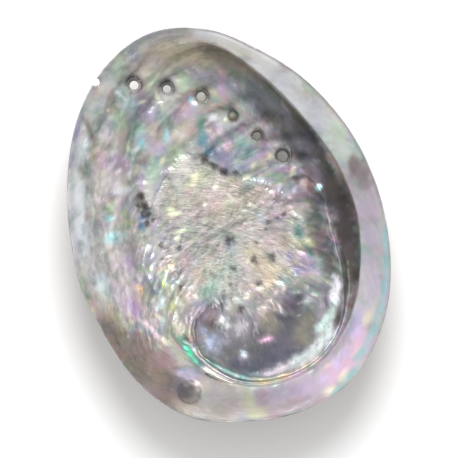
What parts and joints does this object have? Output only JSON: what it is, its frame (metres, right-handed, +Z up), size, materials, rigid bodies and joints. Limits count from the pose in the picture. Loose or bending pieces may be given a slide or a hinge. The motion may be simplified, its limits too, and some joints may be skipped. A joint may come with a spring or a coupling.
{
  "type": "abalone shell",
  "caption": "Polished abalone shell lying on its back: a thick asymmetric ear-shaped bowl of nacre with a turned-in shelf, a coiled spire end and a row of breathing pores.",
  "frame": {"origin": "on the surface that the shell rests on, under the middle of its outline's box", "axes": "+Y towards the growing front end, +X towards the shelf (the inner lip), +Z up out of the bowl"},
  "size_m": [0.1156, 0.1504, 0.0398],
  "materials": {
    "nacre": "polished mother of pearl, silvery with pink, green and blue iridescence"
  },
  "bodies": {
    "root": {"abalone_shell": "nacre"}
  },
  "joints": []
}
